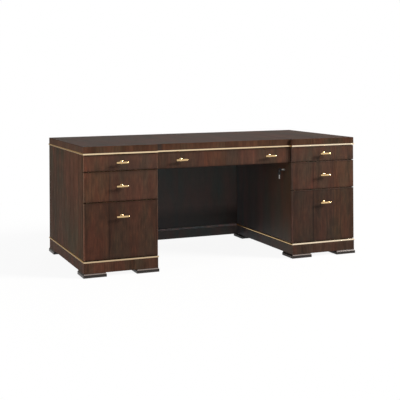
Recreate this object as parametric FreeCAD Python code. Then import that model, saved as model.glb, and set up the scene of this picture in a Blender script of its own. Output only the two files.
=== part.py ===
import FreeCAD, Part
import os

from FreeCAD import Vector

# Pedestal desk with a breakfront top, brass half-round beads and drawers in both pedestals.
# Millimetres. X runs to the right of someone facing the drawers, Y to the back, Z up.
# The origin is on the floor, in the middle of the whole object's width and depth.

# Driving dimensions: the desk
desk_width = 1824.0
desk_depth = 888.0
pedestal_width = 456.0
breakfront_step = 20.0
top_thickness = 38.0
top_edge_chamfer = 2.0
case_height = 616.0
panel = 20.0
back_panel = 18.0

# Beads, plinths and feet
bead_height = 12.0
bead_proud = 4.0
bead_let_in = 8.0
plinth_height = 60.0
plinth_board = 20.0
foot_height = 24.0
foot_length = 140.0
foot_proud = 5.0
foot_bevel_height = 9.0

# Modesty panel between the pedestals
modesty_setback = 20.0
modesty_panel = 18.0
modesty_rail = 14.0
modesty_rail_chamfer = 11.0

# Drawer fronts
front_thickness = 20.0
front_edge_chamfer = 2.0
front_gap = 4.0
bead_gap = 3.0
side_reveal = 1.0
case_reveal = 2.0
centre_end_gap = 3.0
top_front_height = 93.0
middle_front_height = 176.0
centre_front_height = 97.0

# Drawer boxes
divider_thickness = 20.0
divider_depth = 60.0
box_board = 13.0
box_bottom = 6.0
box_bottom_lift = 10.0
groove_depth = 6.0
box_clear_below = 6.0
box_clear_above = 14.0
pedestal_box_depth = 660.0
centre_box_depth = 430.0
half_blind_lap = 4.0
tail_pitch = 72.0
tail_share = 0.64
dovetail_slope = 1.0 / 6.0
file_rail_thickness = 3.0
file_rail_height = 14.0
file_rail_rise = 6.0

# Drawer slides
slide_width = 12.7
slide_height = 46.0
slide_steel = 1.2
slide_play = 0.4
slide_setback = 3.0
slide_end_room = 12.0
slide_lift = 8.0

# Pulls
pull_length = 75.0
pull_radius = 6.0
pull_stand = 30.0
pull_base_radius = 11.0
pull_base_thickness = 3.0
pull_neck_radius = 4.5
pull_rise = 2.0
file_pull_drop = 84.0
centre_pull_inset = 155.0

# Lock and keys in the kneehole side of the right pedestal
lock_setback = 105.0
lock_drop = 152.0
lock_barrel_radius = 7.0
lock_nose = 9.0
lock_tail = 3.0
lock_plug_radius = 4.5
lock_plug_play = 0.05
cam_thickness = 2.0
cam_reach = 22.0
cam_half_width = 6.0
cam_gap = 0.4
key_blade_height = 7.0
key_blade_thickness = 2.0
key_blade_length = 24.0
key_blade_shown = 13.0
key_notch = 1.6
key_bow_length = 22.0
key_bow_height = 20.0
key_bow_thickness = 4.0
key_bow_corner = 6.0
key_hole_radius = 2.5
key_hole_margin = 2.5
ring_radius = 7.5
ring_wire = 1.6
ring_play = 0.7

# Levels
plinth_top = foot_height + plinth_height
case_bottom = plinth_top + bead_height
case_top = case_bottom + case_height
top_underside = case_top + bead_height
desk_height = top_underside + top_thickness

# Planes in depth: the pulls reach furthest to the front and the feet furthest to the back
pull_reach = pull_stand + pull_radius
overall_depth = pull_reach + desk_depth + foot_proud
front_plane = pull_reach - overall_depth / 2
back_plane = front_plane + desk_depth
case_front = front_plane + front_thickness + case_reveal
centre_plane = front_plane + breakfront_step

# Planes in width
half_width = desk_width / 2
knee_half = half_width - pedestal_width
pedestals = {"left": (-half_width, -knee_half), "right": (knee_half, half_width)}


def block(low, high):
    """A rectangular board between two opposite corners."""
    size = Vector(*high) - Vector(*low)
    return Part.makeBox(size.x, size.y, size.z, Vector(*low))


def prism(plan, bottom, top):
    """A flat-sided solid standing on a plan outline."""
    corners = [Vector(x, y, bottom) for x, y in plan]
    face = Part.Face(Part.makePolygon(corners + corners[:1]))
    return face.extrude(Vector(0, 0, top - bottom))


def turned(profile, centre, axis):
    """A turned solid: each profile point is a distance along the axis and a radius."""
    side = Vector(0, 0, 1)
    points = [centre + axis * along + side * radius for along, radius in profile]
    return Part.Face(Part.makePolygon(points + points[:1])).revolve(centre, axis, 360)


def outward(start, end):
    """The unit direction out of a counter-clockwise plan, across the side from start to end."""
    along = Vector(end[0] - start[0], end[1] - start[1], 0).normalize()
    return Vector(along.y, -along.x, 0)


def grown(plan, distance):
    """A square-cornered plan with every side moved out by a distance, or in where it is negative."""
    moved = []
    for before, corner, after in zip(plan[-1:] + plan[:-1], plan, plan[1:] + plan[:1]):
        shift = (outward(before, corner) + outward(corner, after)) * distance
        moved.append((corner[0] + shift.x, corner[1] + shift.y))
    return moved


def mitred_boards(plan, inner, outer, bottom, top):
    """One board along each side of a plan, mitred to its neighbours."""
    inside = grown(plan, -inner)
    outside = grown(plan, outer)
    boards = []
    for here in range(len(plan)):
        following = (here + 1) % len(plan)
        corners = [outside[here], outside[following], inside[following], inside[here]]
        boards.append(prism(corners, bottom, top))
    return boards


def mitred_beads(plan, bottom):
    """Brass half-round strips round a plan, each a bar with a round nose cut to its mitres."""
    nose = bead_height / 2
    spare = bead_let_in + bead_proud
    boards = mitred_boards(plan, bead_let_in, bead_proud, bottom, bottom + bead_height)
    beads = []
    for start, end, board in zip(plan, plan[1:] + plan[:1], boards):
        out = outward(start, end)
        along = Vector(end[0] - start[0], end[1] - start[1], 0)
        run = along.Length
        along.normalize()
        foot = Vector(start[0], start[1], bottom) - along * spare

        def place(distance, rise):
            return foot + out * distance + Vector(0, 0, rise)

        back_low = place(-bead_let_in, 0)
        nose_low = place(bead_proud - nose, 0)
        tip = place(bead_proud, nose)
        nose_high = place(bead_proud - nose, bead_height)
        back_high = place(-bead_let_in, bead_height)
        edges = [
            Part.LineSegment(back_low, nose_low).toShape(),
            Part.Arc(nose_low, tip, nose_high).toShape(),
            Part.LineSegment(nose_high, back_high).toShape(),
            Part.LineSegment(back_high, back_low).toShape(),
        ]
        bar = Part.Face(Part.Wire(edges)).extrude(along * (run + 2 * spare))
        beads.append(bar.common(board).Solids[0])
    return beads


def save(name, *solids):
    """Writes one node: its solids, each kept apart."""
    shape = solids[0] if len(solids) == 1 else Part.makeCompound(list(solids))
    shape.exportStep("parts/" + name + ".step")


def rectangle(low_x, high_x, low_y, high_y):
    """A counter-clockwise plan rectangle."""
    return [(low_x, low_y), (high_x, low_y), (high_x, high_y), (low_x, high_y)]


# The top: its front steps back between the pedestals
top_plan = [
    (-half_width, front_plane),
    (-knee_half, front_plane),
    (-knee_half, centre_plane),
    (knee_half, centre_plane),
    (knee_half, front_plane),
    (half_width, front_plane),
    (half_width, back_plane),
    (-half_width, back_plane),
]
slab = prism(top_plan, top_underside, desk_height)
upper_edges = [e for e in slab.Edges if e.BoundBox.ZMin > top_underside + top_edge_chamfer]
save("desk_top", slab.makeChamfer(top_edge_chamfer, upper_edges).Solids[0])
save("sub_top", prism(grown(top_plan, -bead_let_in), case_top, top_underside))
save("top_bead", *mitred_beads(top_plan, case_top))


# The pedestals: plinth, bottom board with its bead, sides and back
def foot(centre_x, centre_y):
    """A block foot that flares out under the plinth and then drops straight to the floor."""
    sections = []
    for level, half in (
        (0, foot_length / 2),
        (foot_height - foot_bevel_height, foot_length / 2),
        (foot_height, foot_length / 2 - foot_proud),
    ):
        plan = rectangle(centre_x - half, centre_x + half, centre_y - half, centre_y + half)
        corners = [Vector(x, y, level) for x, y in plan]
        sections.append(Part.makePolygon(corners + corners[:1]))
    return Part.makeLoft(sections, True, True)


feet = []
dividers = []
lock_axis = Vector(knee_half, front_plane + lock_setback, case_top - lock_drop)
top_front_bottom = case_top - bead_gap - top_front_height
middle_front_bottom = top_front_bottom - front_gap - middle_front_height
divider_levels = (top_front_bottom - front_gap / 2, middle_front_bottom - front_gap / 2)
for side, (low_x, high_x) in pedestals.items():
    plan = rectangle(low_x, high_x, front_plane, back_plane)
    save(side + "_plinth", *mitred_boards(plan, plinth_board, 0, foot_height, plinth_top))
    save(side + "_base_bead", *mitred_beads(plan, plinth_top))
    save(side + "_bottom", prism(grown(plan, -bead_let_in), plinth_top, case_bottom))
    left_panel = block((low_x, case_front, case_bottom), (low_x + panel, back_plane, case_top))
    right_panel = block((high_x - panel, case_front, case_bottom), (high_x, back_plane, case_top))
    if side == "left":
        save("left_outer_side", left_panel)
        save("left_inner_side", right_panel)
    else:
        lock_hole = Part.makeCylinder(lock_barrel_radius, panel, lock_axis, Vector(1, 0, 0))
        save("right_inner_side", left_panel.cut(lock_hole))
        save("right_outer_side", right_panel)
    back_low = (low_x + panel, back_plane - back_panel, case_bottom)
    save(side + "_back", block(back_low, (high_x - panel, back_plane, case_top)))
    for level in divider_levels:
        rail_low = (low_x + panel, case_front, level - divider_thickness / 2)
        rail_high = (high_x - panel, case_front + divider_depth, level + divider_thickness / 2)
        dividers.append(block(rail_low, rail_high))
    inset = foot_length / 2 - foot_proud
    for centre_x in (low_x + inset, high_x - inset):
        for centre_y in (front_plane + inset, back_plane - inset):
            feet.append(foot(centre_x, centre_y))
save("block_feet", *feet)
save("divider_rails", *dividers)

# The modesty panel, scribed round the base beads, and the bevelled rail along its foot
modesty_back = back_plane - modesty_setback
modesty_face = modesty_back - modesty_panel
rail_face = modesty_face - modesty_rail
scribe = Part.makeCompound(
    [
        block((edge - bead_proud, rail_face, plinth_top), (edge + bead_proud, modesty_back, case_bottom))
        for edge in (-knee_half, knee_half)
    ]
)
modesty = block((-knee_half, modesty_face, foot_height), (knee_half, modesty_back, case_top))
save("modesty_panel", modesty.cut(scribe))
rail_profile = [
    Vector(-knee_half, rail_face, foot_height),
    Vector(-knee_half, modesty_face, foot_height),
    Vector(-knee_half, modesty_face, case_bottom),
    Vector(-knee_half, rail_face + modesty_rail_chamfer, case_bottom),
    Vector(-knee_half, rail_face, case_bottom - modesty_rail_chamfer),
]
rail_end = Part.Face(Part.makePolygon(rail_profile + rail_profile[:1]))
modesty_foot = rail_end.extrude(Vector(2 * knee_half, 0, 0))
save("modesty_rail", modesty_foot.cut(scribe))


# Drawer parts
def tails(low_x, high_x, shoulder, end, low_z, high_z):
    """Dovetails that widen from a board's shoulder to its end, spaced evenly up its height."""
    height = high_z - low_z
    count = max(2, round(height / tail_pitch))
    wide = tail_share * height / count
    narrow = wide - 2 * dovetail_slope * abs(end - shoulder)
    solids = []
    for number in range(count):
        middle = low_z + (number + 0.5) * height / count
        corners = [
            Vector(low_x, shoulder, middle - narrow / 2),
            Vector(low_x, end, middle - wide / 2),
            Vector(low_x, end, middle + wide / 2),
            Vector(low_x, shoulder, middle + narrow / 2),
        ]
        face = Part.Face(Part.makePolygon(corners + corners[:1]))
        solids.append(face.extrude(Vector(high_x - low_x, 0, 0)))
    return solids


def drawer_box(low_x, high_x, front, back, low_z, high_z):
    """A dovetailed box: half-blind at the front, through at the back, with its bottom let into grooves."""
    inner_front = front + box_board
    inner_back = back - box_board
    bottom_low = low_z + box_bottom_lift
    reach = box_board - groove_depth
    bottom = block(
        (low_x + reach, front + reach, bottom_low),
        (high_x - reach, back - reach, bottom_low + box_bottom),
    )
    joint_tails = []
    sides = []
    for edge_x in (low_x, high_x - box_board):
        front_tails = tails(edge_x, edge_x + box_board, inner_front, front + half_blind_lap, low_z, high_z)
        back_tails = tails(edge_x, edge_x + box_board, inner_back, back, low_z, high_z)
        core = block((edge_x, inner_front, low_z), (edge_x + box_board, inner_back, high_z))
        sides.append(core.fuse(front_tails + back_tails).removeSplitter().cut(bottom))
        joint_tails += front_tails + back_tails
    sub_front = block((low_x, front, low_z), (high_x, inner_front, high_z)).cut(joint_tails + [bottom])
    box_back = block((low_x, inner_back, low_z), (high_x, back, high_z)).cut(joint_tails + [bottom])
    return [piece.Solids[0] for piece in sides] + [sub_front.Solids[0], box_back.Solids[0], bottom]


def drawer_front(low_x, high_x, face, low_z, high_z):
    """A veneered front with eased edges."""
    board = block((low_x, face, low_z), (high_x, face + front_thickness, high_z))
    front_edges = [e for e in board.Edges if e.BoundBox.YMax < face + front_edge_chamfer]
    return board.makeChamfer(front_edge_chamfer, front_edges).Solids[0]


def pull(centre_x, face, centre_z):
    """A brass pull: a round bar brazed into the saddle of a turned post with a flanged foot."""
    bar_end = Vector(centre_x - pull_length / 2, face - pull_stand, centre_z)
    bar = Part.makeCylinder(pull_radius, pull_length, bar_end, Vector(1, 0, 0))
    post = turned(
        [
            (0, 0),
            (0, pull_base_radius),
            (pull_base_thickness, pull_base_radius),
            (pull_base_thickness, pull_neck_radius),
            (pull_stand, pull_neck_radius),
            (pull_stand, 0),
        ],
        Vector(centre_x, face, centre_z),
        Vector(0, -1, 0),
    )
    return [bar, post.cut(bar).Solids[0]]


def channel(web_x, turn, reach, height, middle_z, start, length):
    """A folded steel slide member: its web at web_x and its two flanges turned towards turn."""
    half = height / 2
    profile = [
        (0, -half),
        (reach, -half),
        (reach, -half + slide_steel),
        (slide_steel, -half + slide_steel),
        (slide_steel, half - slide_steel),
        (reach, half - slide_steel),
        (reach, half),
        (0, half),
    ]
    corners = [Vector(web_x + turn * x, start, middle_z + z) for x, z in profile]
    return Part.Face(Part.makePolygon(corners + corners[:1])).extrude(Vector(0, length, 0))


def slides(case_low_x, case_high_x, middle_z, start, length, full_extension):
    """The slide members on both sides of a drawer: on the case, on the drawer and, if needed, between."""
    nest = slide_steel + slide_play
    case_members = []
    middle_members = []
    drawer_members = []
    for case_x, turn in ((case_low_x, 1), (case_high_x, -1)):
        drawer_x = case_x + turn * slide_width
        case_members.append(
            channel(case_x, turn, slide_width - nest, slide_height, middle_z, start, length)
        )
        layers = 1
        if full_extension:
            middle_members.append(
                channel(
                    case_x + turn * nest,
                    turn,
                    slide_width - 2 * nest,
                    slide_height - 2 * nest,
                    middle_z,
                    start,
                    length,
                )
            )
            layers = 2
        drawer_members.append(
            channel(
                drawer_x,
                -turn,
                slide_width - layers * nest,
                slide_height - 2 * layers * nest,
                middle_z,
                start,
                length,
            )
        )
    return case_members, middle_members, drawer_members


def file_rails(low_x, high_x, front, back, high_z):
    """Steel bars inside the top of a file drawer's sides, for hanging folders."""
    rails = []
    for face, turn in ((low_x + box_board, 1), (high_x - box_board, -1)):
        edges = sorted((face, face + turn * file_rail_thickness))
        rails.append(
            block(
                (edges[0], front + box_board, high_z + file_rail_rise - file_rail_height),
                (edges[1], back - box_board, high_z + file_rail_rise),
            )
        )
    return rails


case_slide_members = []


def drawer(name, front_span, face, front_low, front_high, case_span, opening, depth, pull_places):
    """Writes one drawer: front, dovetailed box, pulls and slide members."""
    is_file = name.endswith("file")
    box_front = face + front_thickness
    box_low_x = case_span[0] + slide_width
    box_high_x = case_span[1] - slide_width
    box_low = opening[0] + box_clear_below
    box_high = opening[1] - box_clear_above
    slide_middle = box_low + slide_lift + slide_height / 2
    slide_start = box_front + case_reveal + slide_setback
    slide_length = depth - slide_setback - slide_end_room
    save(name + "_front", drawer_front(*front_span, face, front_low, front_high))
    save(name + "_box", *drawer_box(box_low_x, box_high_x, box_front, box_front + depth, box_low, box_high))
    pulls = [piece for centre_x, centre_z in pull_places for piece in pull(centre_x, face, centre_z)]
    save(name + "_pull", *pulls)
    case_members, middle_members, drawer_members = slides(
        *case_span, slide_middle, slide_start, slide_length, is_file
    )
    case_slide_members.extend(case_members)
    save(name + "_runners", *drawer_members)
    if is_file:
        save(name + "_middle_slides", *middle_members)
        rails = file_rails(box_low_x, box_high_x, box_front, box_front + depth, box_high)
        save(name + "_hanging_rails", *rails)


for side, (low_x, high_x) in pedestals.items():
    front_span = (low_x + side_reveal, high_x - side_reveal)
    case_span = (low_x + panel, high_x - panel)
    middle_x = (low_x + high_x) / 2
    half_divider = divider_thickness / 2
    top_high = case_top - bead_gap
    middle_high = top_front_bottom - front_gap
    file_high = middle_front_bottom - front_gap
    drawer(
        side + "_top",
        front_span,
        front_plane,
        top_front_bottom,
        top_high,
        case_span,
        (divider_levels[0] + half_divider, case_top),
        pedestal_box_depth,
        [(middle_x, (top_front_bottom + top_high) / 2 + pull_rise)],
    )
    drawer(
        side + "_middle",
        front_span,
        front_plane,
        middle_front_bottom,
        middle_high,
        case_span,
        (divider_levels[1] + half_divider, divider_levels[0] - half_divider),
        pedestal_box_depth,
        [(middle_x, (middle_front_bottom + middle_high) / 2 + pull_rise)],
    )
    drawer(
        side + "_file",
        front_span,
        front_plane,
        case_bottom + bead_gap,
        file_high,
        case_span,
        (case_bottom, divider_levels[1] - half_divider),
        pedestal_box_depth,
        [(middle_x, file_high - file_pull_drop)],
    )

centre_high = case_top - bead_gap
centre_low = centre_high - centre_front_height
centre_pull_x = knee_half - centre_pull_inset
centre_pull_z = (centre_low + centre_high) / 2 + pull_rise
drawer(
    "centre",
    (-knee_half + centre_end_gap, knee_half - centre_end_gap),
    centre_plane,
    centre_low,
    centre_high,
    (-knee_half, knee_half),
    (centre_low + front_gap, case_top),
    centre_box_depth,
    [(-centre_pull_x, centre_pull_z), (centre_pull_x, centre_pull_z)],
)
save("case_slide_members", *case_slide_members)

# The lock: a plain barrel pressed through the panel, and a plug that turns in it with a cam behind
into = Vector(1, 0, 0)
plug_start = lock_axis - into * lock_nose
barrel_length = lock_nose + panel + lock_tail
plug_length = barrel_length + cam_gap
barrel = Part.makeCylinder(lock_barrel_radius, barrel_length, plug_start, into)
plug_bore = Part.makeCylinder(lock_plug_radius + lock_plug_play, barrel_length, plug_start, into)
save("lock_barrel", barrel.cut(plug_bore).Solids[0])


def key_blade(start, along, across):
    """A flat key blade with its bitting notches, from its shoulder at start along a direction."""
    half = key_blade_height / 2
    step = key_blade_length / 6
    outline = [(0, -half), (0, half), (key_blade_length, half), (key_blade_length, -half)]
    for number in (5, 4, 3):
        middle = number * step
        outline += [(middle + key_notch, -half), (middle, key_notch - half), (middle - key_notch, -half)]
    thick = along.cross(across)
    corners = [start + along * x + across * z - thick * (key_blade_thickness / 2) for x, z in outline]
    return Part.Face(Part.makePolygon(corners + corners[:1])).extrude(thick * key_blade_thickness)


def key_bow(start, along, across):
    """A moulded key head with cut corners and a ring hole, reaching from the blade's shoulder."""
    half = key_bow_height / 2
    near = half - key_bow_corner
    far = key_bow_length - key_bow_corner
    thick = along.cross(across)
    lift = thick * (key_bow_thickness / 2)
    upper = [(0, near), (key_bow_corner, half), (far, half), (key_bow_length, near)]
    outline = upper + [(x, -z) for x, z in reversed(upper)]
    corners = [start - along * x + across * z - lift for x, z in outline]
    head = Part.Face(Part.makePolygon(corners + corners[:1])).extrude(thick * key_bow_thickness)
    hole_at = start - along * (key_bow_length - key_hole_margin - key_hole_radius) - lift
    return head.cut(Part.makeCylinder(key_hole_radius, key_bow_thickness, hole_at, thick))


up = Vector(0, 0, 1)
shoulder = plug_start - into * key_blade_shown
plug = Part.makeCylinder(lock_plug_radius, plug_length, plug_start, into)
blade = key_blade(shoulder, into, up)
key_slot_low = plug_start + Vector(0, -key_blade_thickness / 2, -key_blade_height / 2)
key_slot = Part.makeBox(
    key_blade_length - key_blade_shown, key_blade_thickness, key_blade_height, key_slot_low
)
cam_start = plug_start + into * plug_length
cam = block(
    (cam_start.x, cam_start.y - cam_half_width, cam_start.z - cam_half_width),
    (cam_start.x + cam_thickness, cam_start.y + cam_half_width, cam_start.z + cam_reach),
)
save("lock_plug", plug.cut(key_slot).Solids[0], cam)
save("key_blade", blade)
save("key_bow", key_bow(shoulder, into, up))

# The ring hangs in the key's hole, and the spare key hangs in the ring
hang = key_hole_radius - ring_wire / 2 - ring_play
hole_centre = shoulder - into * (key_bow_length - key_hole_margin - key_hole_radius)
ring_centre = hole_centre - up * (hang + ring_radius)
ring_low = ring_centre - into * (ring_wire / 2)
ring_disc = Part.makeCylinder(ring_radius + ring_wire / 2, ring_wire, ring_low, into)
ring_eye = Part.makeCylinder(ring_radius - ring_wire / 2, ring_wire, ring_low, into)
save("key_ring", ring_disc.cut(ring_eye).Solids[0])
spare_hole = ring_centre - up * (ring_radius + hang)
spare_shoulder = spare_hole - up * (key_bow_length - key_hole_margin - key_hole_radius)
save("spare_key_blade", key_blade(spare_shoulder, up * -1, into))
save("spare_key_bow", key_bow(spare_shoulder, up * -1, into))
print("desk", desk_width, desk_depth, desk_height, "front plane", front_plane, "back plane", back_plane)
print("ring centre", tuple(ring_centre), "lock axis", tuple(lock_axis))
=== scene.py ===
# %% [markdown]
# A walnut pedestal desk with brass beads and pulls.
# The desk itself comes from a packed CAD model: every board, drawer and slide is already there at its real
# size, in metres, and stays where it is. This lesson gives each piece its finish, and models the half-round
# beads and the turned pulls more finely than the CAD does.
# It starts by loading the frame.

# %% Load the desk
import math

import bmesh
import bpy
from mathutils import Matrix, Vector


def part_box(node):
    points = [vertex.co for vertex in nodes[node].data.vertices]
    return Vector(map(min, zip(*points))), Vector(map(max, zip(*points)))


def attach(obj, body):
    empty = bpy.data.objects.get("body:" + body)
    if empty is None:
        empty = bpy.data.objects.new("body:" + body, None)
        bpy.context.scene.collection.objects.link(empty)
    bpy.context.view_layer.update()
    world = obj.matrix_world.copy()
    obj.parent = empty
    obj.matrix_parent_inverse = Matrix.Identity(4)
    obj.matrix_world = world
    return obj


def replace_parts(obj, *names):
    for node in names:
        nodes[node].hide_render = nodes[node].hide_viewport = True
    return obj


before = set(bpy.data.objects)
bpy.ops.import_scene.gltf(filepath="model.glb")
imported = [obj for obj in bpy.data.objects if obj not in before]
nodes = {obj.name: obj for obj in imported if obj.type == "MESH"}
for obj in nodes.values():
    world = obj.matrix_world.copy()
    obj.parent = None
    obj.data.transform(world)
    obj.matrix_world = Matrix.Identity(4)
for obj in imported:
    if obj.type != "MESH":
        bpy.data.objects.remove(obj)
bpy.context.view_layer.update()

# %% [markdown]
# The camera. The photograph was taken from the left, a little above the desk top, with the verticals kept
# parallel, as a studio camera with a falling front does. In Blender that is a level camera with a vertical
# shift: the horizon lies well above the middle of the picture. A level camera is chosen, and not a tilted
# one, because a tilt would make the pedestals lean together.

# %% Camera
picture_side = 400
focal_pixels = 878.0
horizon_row = 76.45
sensor_width = 36.0
camera_place = Vector((-2.2282, -5.3888, 1.1673))
camera_turn = math.radians(-22.453)
camera_roll = math.radians(-0.34)

camera_data = bpy.data.cameras.new("studio_camera")
camera_data.sensor_width = sensor_width
camera_data.lens = focal_pixels / picture_side * sensor_width
camera_data.shift_y = (horizon_row - picture_side / 2) / picture_side
camera = bpy.data.objects.new("studio_camera", camera_data)
bpy.context.scene.collection.objects.link(camera)
upright = Matrix.Rotation(camera_turn, 4, "Z") @ Matrix.Rotation(math.radians(90), 4, "X")
camera.matrix_world = Matrix.Translation(camera_place) @ upright @ Matrix.Rotation(camera_roll, 4, "Z")
bpy.context.scene.camera = camera
print("camera: lens", round(camera_data.lens, 2), "mm, shift", round(camera_data.shift_y, 3))

# %% [markdown]
# The white surroundings. The photograph shows the desk on plain white. A bright world would make such a
# white, but it would light the desk as well and wash out its colours. So the world has two strengths: the
# rays that show it, to the camera or in a mirror, find white, and all others get a weak fill light.

# %% White surroundings
scene = bpy.context.scene
scene.view_settings.view_transform = "Standard"
white = (1.0, 1.0, 1.0, 1.0)
shown_strength = 1.0
fill_tint = (0.95, 0.97, 1.0, 1.0)
fill_strength = 0.22


def node_tree(owner):
    """Turns nodes on and empties them."""
    owner.use_nodes = True
    owner.node_tree.nodes.clear()
    return owner.node_tree.nodes, owner.node_tree.links


def shown_ray(shaders, wires):
    """One for the rays that show a surface: camera, glossy and transmission rays."""
    path = shaders.new("ShaderNodeLightPath")
    shown = path.outputs["Is Camera Ray"]
    for ray in ("Is Glossy Ray", "Is Transmission Ray"):
        either = shaders.new("ShaderNodeMath")
        either.operation = "MAXIMUM"
        wires.new(shown, either.inputs[0])
        wires.new(path.outputs[ray], either.inputs[1])
        shown = either.outputs[0]
    return shown


def light(shaders, kind, colour, strength):
    """Light of one colour, from a Background or an Emission node."""
    node = shaders.new("ShaderNode" + kind)
    node.inputs["Color"].default_value = colour
    node.inputs["Strength"].default_value = strength
    return node.outputs[0]


def mixed(shaders, wires, share, first, second):
    """The first shader where the share is 0, the second where it is 1."""
    node = shaders.new("ShaderNodeMixShader")
    for output, socket in zip((share, first, second), node.inputs):
        wires.new(output, socket)
    return node.outputs[0]


world = bpy.data.worlds.new("studio_world")
scene.world = world
shaders, wires = node_tree(world)
fill = light(shaders, "Background", fill_tint, fill_strength)
backdrop = light(shaders, "Background", white, shown_strength)
sky = shaders.new("ShaderNodeOutputWorld")
wires.new(mixed(shaders, wires, shown_ray(shaders, wires), fill, backdrop), sky.inputs["Surface"])
print("world: white where it shows, fill light of strength", fill_strength)

# %% [markdown]
# The floor. A studio floor is a wide sheet that runs on out of the picture. A curved backdrop would hide its
# far edge, but here the surroundings are as white as the floor, so a flat plane is enough. It lies a little
# below the feet, so that the two are never in one plane.

# %% Floor
floor_side = 60.0
floor_drop = 0.0005

bpy.ops.mesh.primitive_plane_add(size=floor_side, location=(0, 0, -floor_drop))
floor = bpy.context.object
floor.name = "studio_floor"
print("floor:", floor_side, "m square")

# %% [markdown]
# The floor's paint. The floor has to be as white as the surroundings and still take the desk's shadow. White
# paint alone would render grey wherever less light falls, so there is a glow besides. For the light that
# bounces back to the desk the paint is grey, because a white floor would light the desk from below.

# %% Floor paint
paint_for_light = (0.5, 0.5, 0.5, 1.0)
paint_shown = (0.95, 0.95, 0.95, 1.0)

floor_paint = bpy.data.materials.new("studio_floor_paint")
floor.data.materials.append(floor_paint)
shaders, wires = node_tree(floor_paint)
shown = shown_ray(shaders, wires)
shade = shaders.new("ShaderNodeMix")
shade.data_type = "RGBA"
shade.inputs["A"].default_value = paint_for_light
shade.inputs["B"].default_value = paint_shown
wires.new(shown, shade.inputs["Factor"])
paint = shaders.new("ShaderNodeBsdfDiffuse")
wires.new(shade.outputs["Result"], paint.inputs["Color"])
glow = light(shaders, "Emission", white, shown_strength)
print("floor paint: sends back", paint_for_light[0], "of the light")

# %% [markdown]
# The floor's glow. Most of what the camera sees is an even glow, and a small share of paint carries the
# shadow. With one share everywhere the floor would show where it ends, so the paint fades away further out.
# From below the floor is clear, and the desk's underside can be looked at.

# %% Floor glow
glow_near_desk = 0.92
glow_far_away = 1.0
fade_start = 1.2
fade_end = 2.8

spot = shaders.new("ShaderNodeTexCoord")
away = shaders.new("ShaderNodeVectorMath")
away.operation = "LENGTH"
wires.new(spot.outputs["Object"], away.inputs[0])
fade = shaders.new("ShaderNodeMapRange")
fade.interpolation_type = "SMOOTHSTEP"
fade.inputs["From Min"].default_value = fade_start
fade.inputs["From Max"].default_value = fade_end
fade.inputs["To Min"].default_value = glow_near_desk
fade.inputs["To Max"].default_value = glow_far_away
wires.new(away.outputs["Value"], fade.inputs["Value"])
share = shaders.new("ShaderNodeMath")
share.operation = "MULTIPLY"
wires.new(shown, share.inputs[0])
wires.new(fade.outputs["Result"], share.inputs[1])
from_above = mixed(shaders, wires, share.outputs[0], paint.outputs[0], glow)
seen_from_below = shaders.new("ShaderNodeNewGeometry").outputs["Backfacing"]
clear = shaders.new("ShaderNodeBsdfTransparent").outputs[0]
out = shaders.new("ShaderNodeOutputMaterial")
wires.new(mixed(shaders, wires, seen_from_below, from_above, clear), out.inputs["Surface"])
print("floor: its paint fades out between", fade_start, "and", fade_end, "m from the desk's middle")

# %% [markdown]
# The lamps. One large soft light stands at the right and throws the shadows of the pulls down to their left.
# A sun lamp would light the desk as evenly, but a large area lamp far away shows in the brass as a real lamp
# does. Two weaker lamps, at the left and behind, keep those sides from going black. They stay out of
# reflections, where they would show as white squares.

# %% Lamps
desk_middle = Vector((0, 0, 0.45))


def soft_lamp(name, toward, distance, width, power, colour):
    """A square area lamp that looks at the middle of the desk from a direction."""
    data = bpy.data.lights.new(name, "AREA")
    data.shape = "SQUARE"
    data.size = width
    data.energy = power
    data.color = colour
    lamp = bpy.data.objects.new(name, data)
    lamp.location = desk_middle + Vector(toward).normalized() * distance
    lamp.rotation_euler = (desk_middle - lamp.location).to_track_quat("-Z", "Y").to_euler()
    scene.collection.objects.link(lamp)
    return lamp


soft_lamp("key_lamp", (0.71, -0.51, 0.47), distance=14.0, width=3.6, power=2850, colour=(1.0, 0.97, 0.93))
fill_lamps = {"left_lamp": (-0.93, -0.30, 0.14), "back_lamp": (0.25, 0.95, 0.15)}
for name, toward in fill_lamps.items():
    fill_lamp = soft_lamp(name, toward, distance=7.0, width=3.0, power=230, colour=(1, 1, 1))
    fill_lamp.visible_glossy = False
print("lamps: one key lamp and", len(fill_lamps), "fill lamps")

# %% [markdown]
# A warm card. From the photograph's place the desk's left side, and the brass along it, mirror what stands
# behind the desk at the left. If that were white they would look bleached, so a warm card stands there, of
# the kind that photographers call a flag. Only mirror rays find it: it neither lights the desk nor shades it.

# %% Warm card
flag_place = (-1.9, 3.4, 1.2)
flag_side = 2.4
flag_colour = (0.60, 0.54, 0.46, 1.0)
flag_strength = 1.0

bpy.ops.mesh.primitive_plane_add(size=1, location=flag_place, rotation=(math.radians(90), 0, 0))
flag = bpy.context.object
flag.name = "studio_flag"
flag.scale = (flag_side, flag_side, 1)
flag_paint = bpy.data.materials.new("studio_flag_paint")
shaders, wires = node_tree(flag_paint)
out = shaders.new("ShaderNodeOutputMaterial")
wires.new(light(shaders, "Emission", flag_colour, flag_strength), out.inputs["Surface"])
flag.data.materials.append(flag_paint)
flag.visible_camera = False
flag.visible_diffuse = False
flag.visible_shadow = False
print("card:", flag_side, "m square, seen only in reflections")

# %% [markdown]
# Colours. A tone is easiest to write as on a screen, from 0 to 255, but a shader reckons in linear light,
# where a middle grey is only about a fifth of white. Blender's colour picker converts one to the other, and a
# script has to do it by itself.


# %% Colours
def srgb(red, green, blue):
    """A colour written as on a screen, 0 to 255, made linear for the shader."""
    def linear(value):
        value /= 255
        return value / 12.92 if value <= 0.04045 else ((value + 0.055) / 1.055) ** 2.4
    return (linear(red), linear(green), linear(blue), 1.0)


def grey(value):
    """A plain factor for a ramp."""
    return (value, value, value, 1.0)


print("a screen grey of 128 is", round(srgb(128, 128, 128)[0], 3), "in linear light")

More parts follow.
